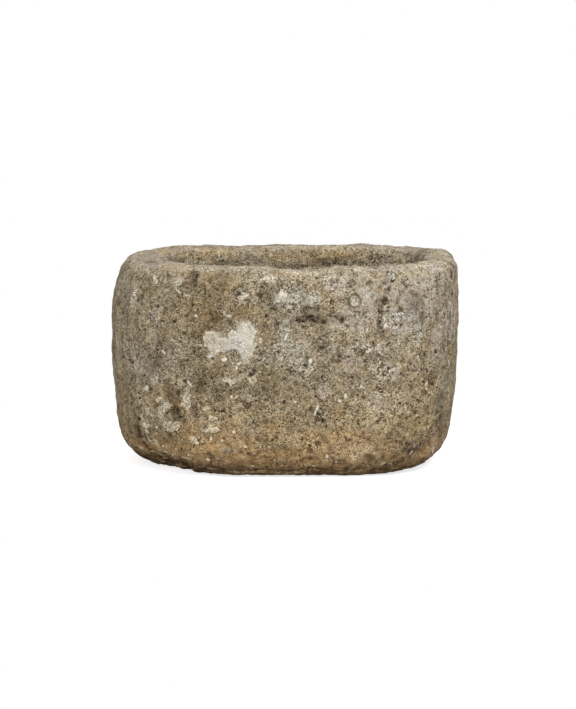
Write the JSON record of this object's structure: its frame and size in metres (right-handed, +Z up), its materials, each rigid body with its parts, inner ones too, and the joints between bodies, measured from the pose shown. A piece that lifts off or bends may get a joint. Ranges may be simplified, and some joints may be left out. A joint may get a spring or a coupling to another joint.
{
  "type": "stone trough",
  "caption": "Heavy garden trough hewn from solid limestone, with a deep hollow, thick bulging walls, rounded corners and a worn rim, for planting or water.",
  "frame": {"origin": "on the bed, the flat underside, below the middle of the block", "axes": "+X along the trough towards its right end as seen from the front, +Y from the front wall to the back wall, +Z up out of the hollow"},
  "size_m": [0.7168, 0.5627, 0.4267],
  "materials": {
    "limestone": "rough, weathered, with lichen and lime"
  },
  "bodies": {
    "root": {"trough_block": "limestone"}
  },
  "joints": []
}
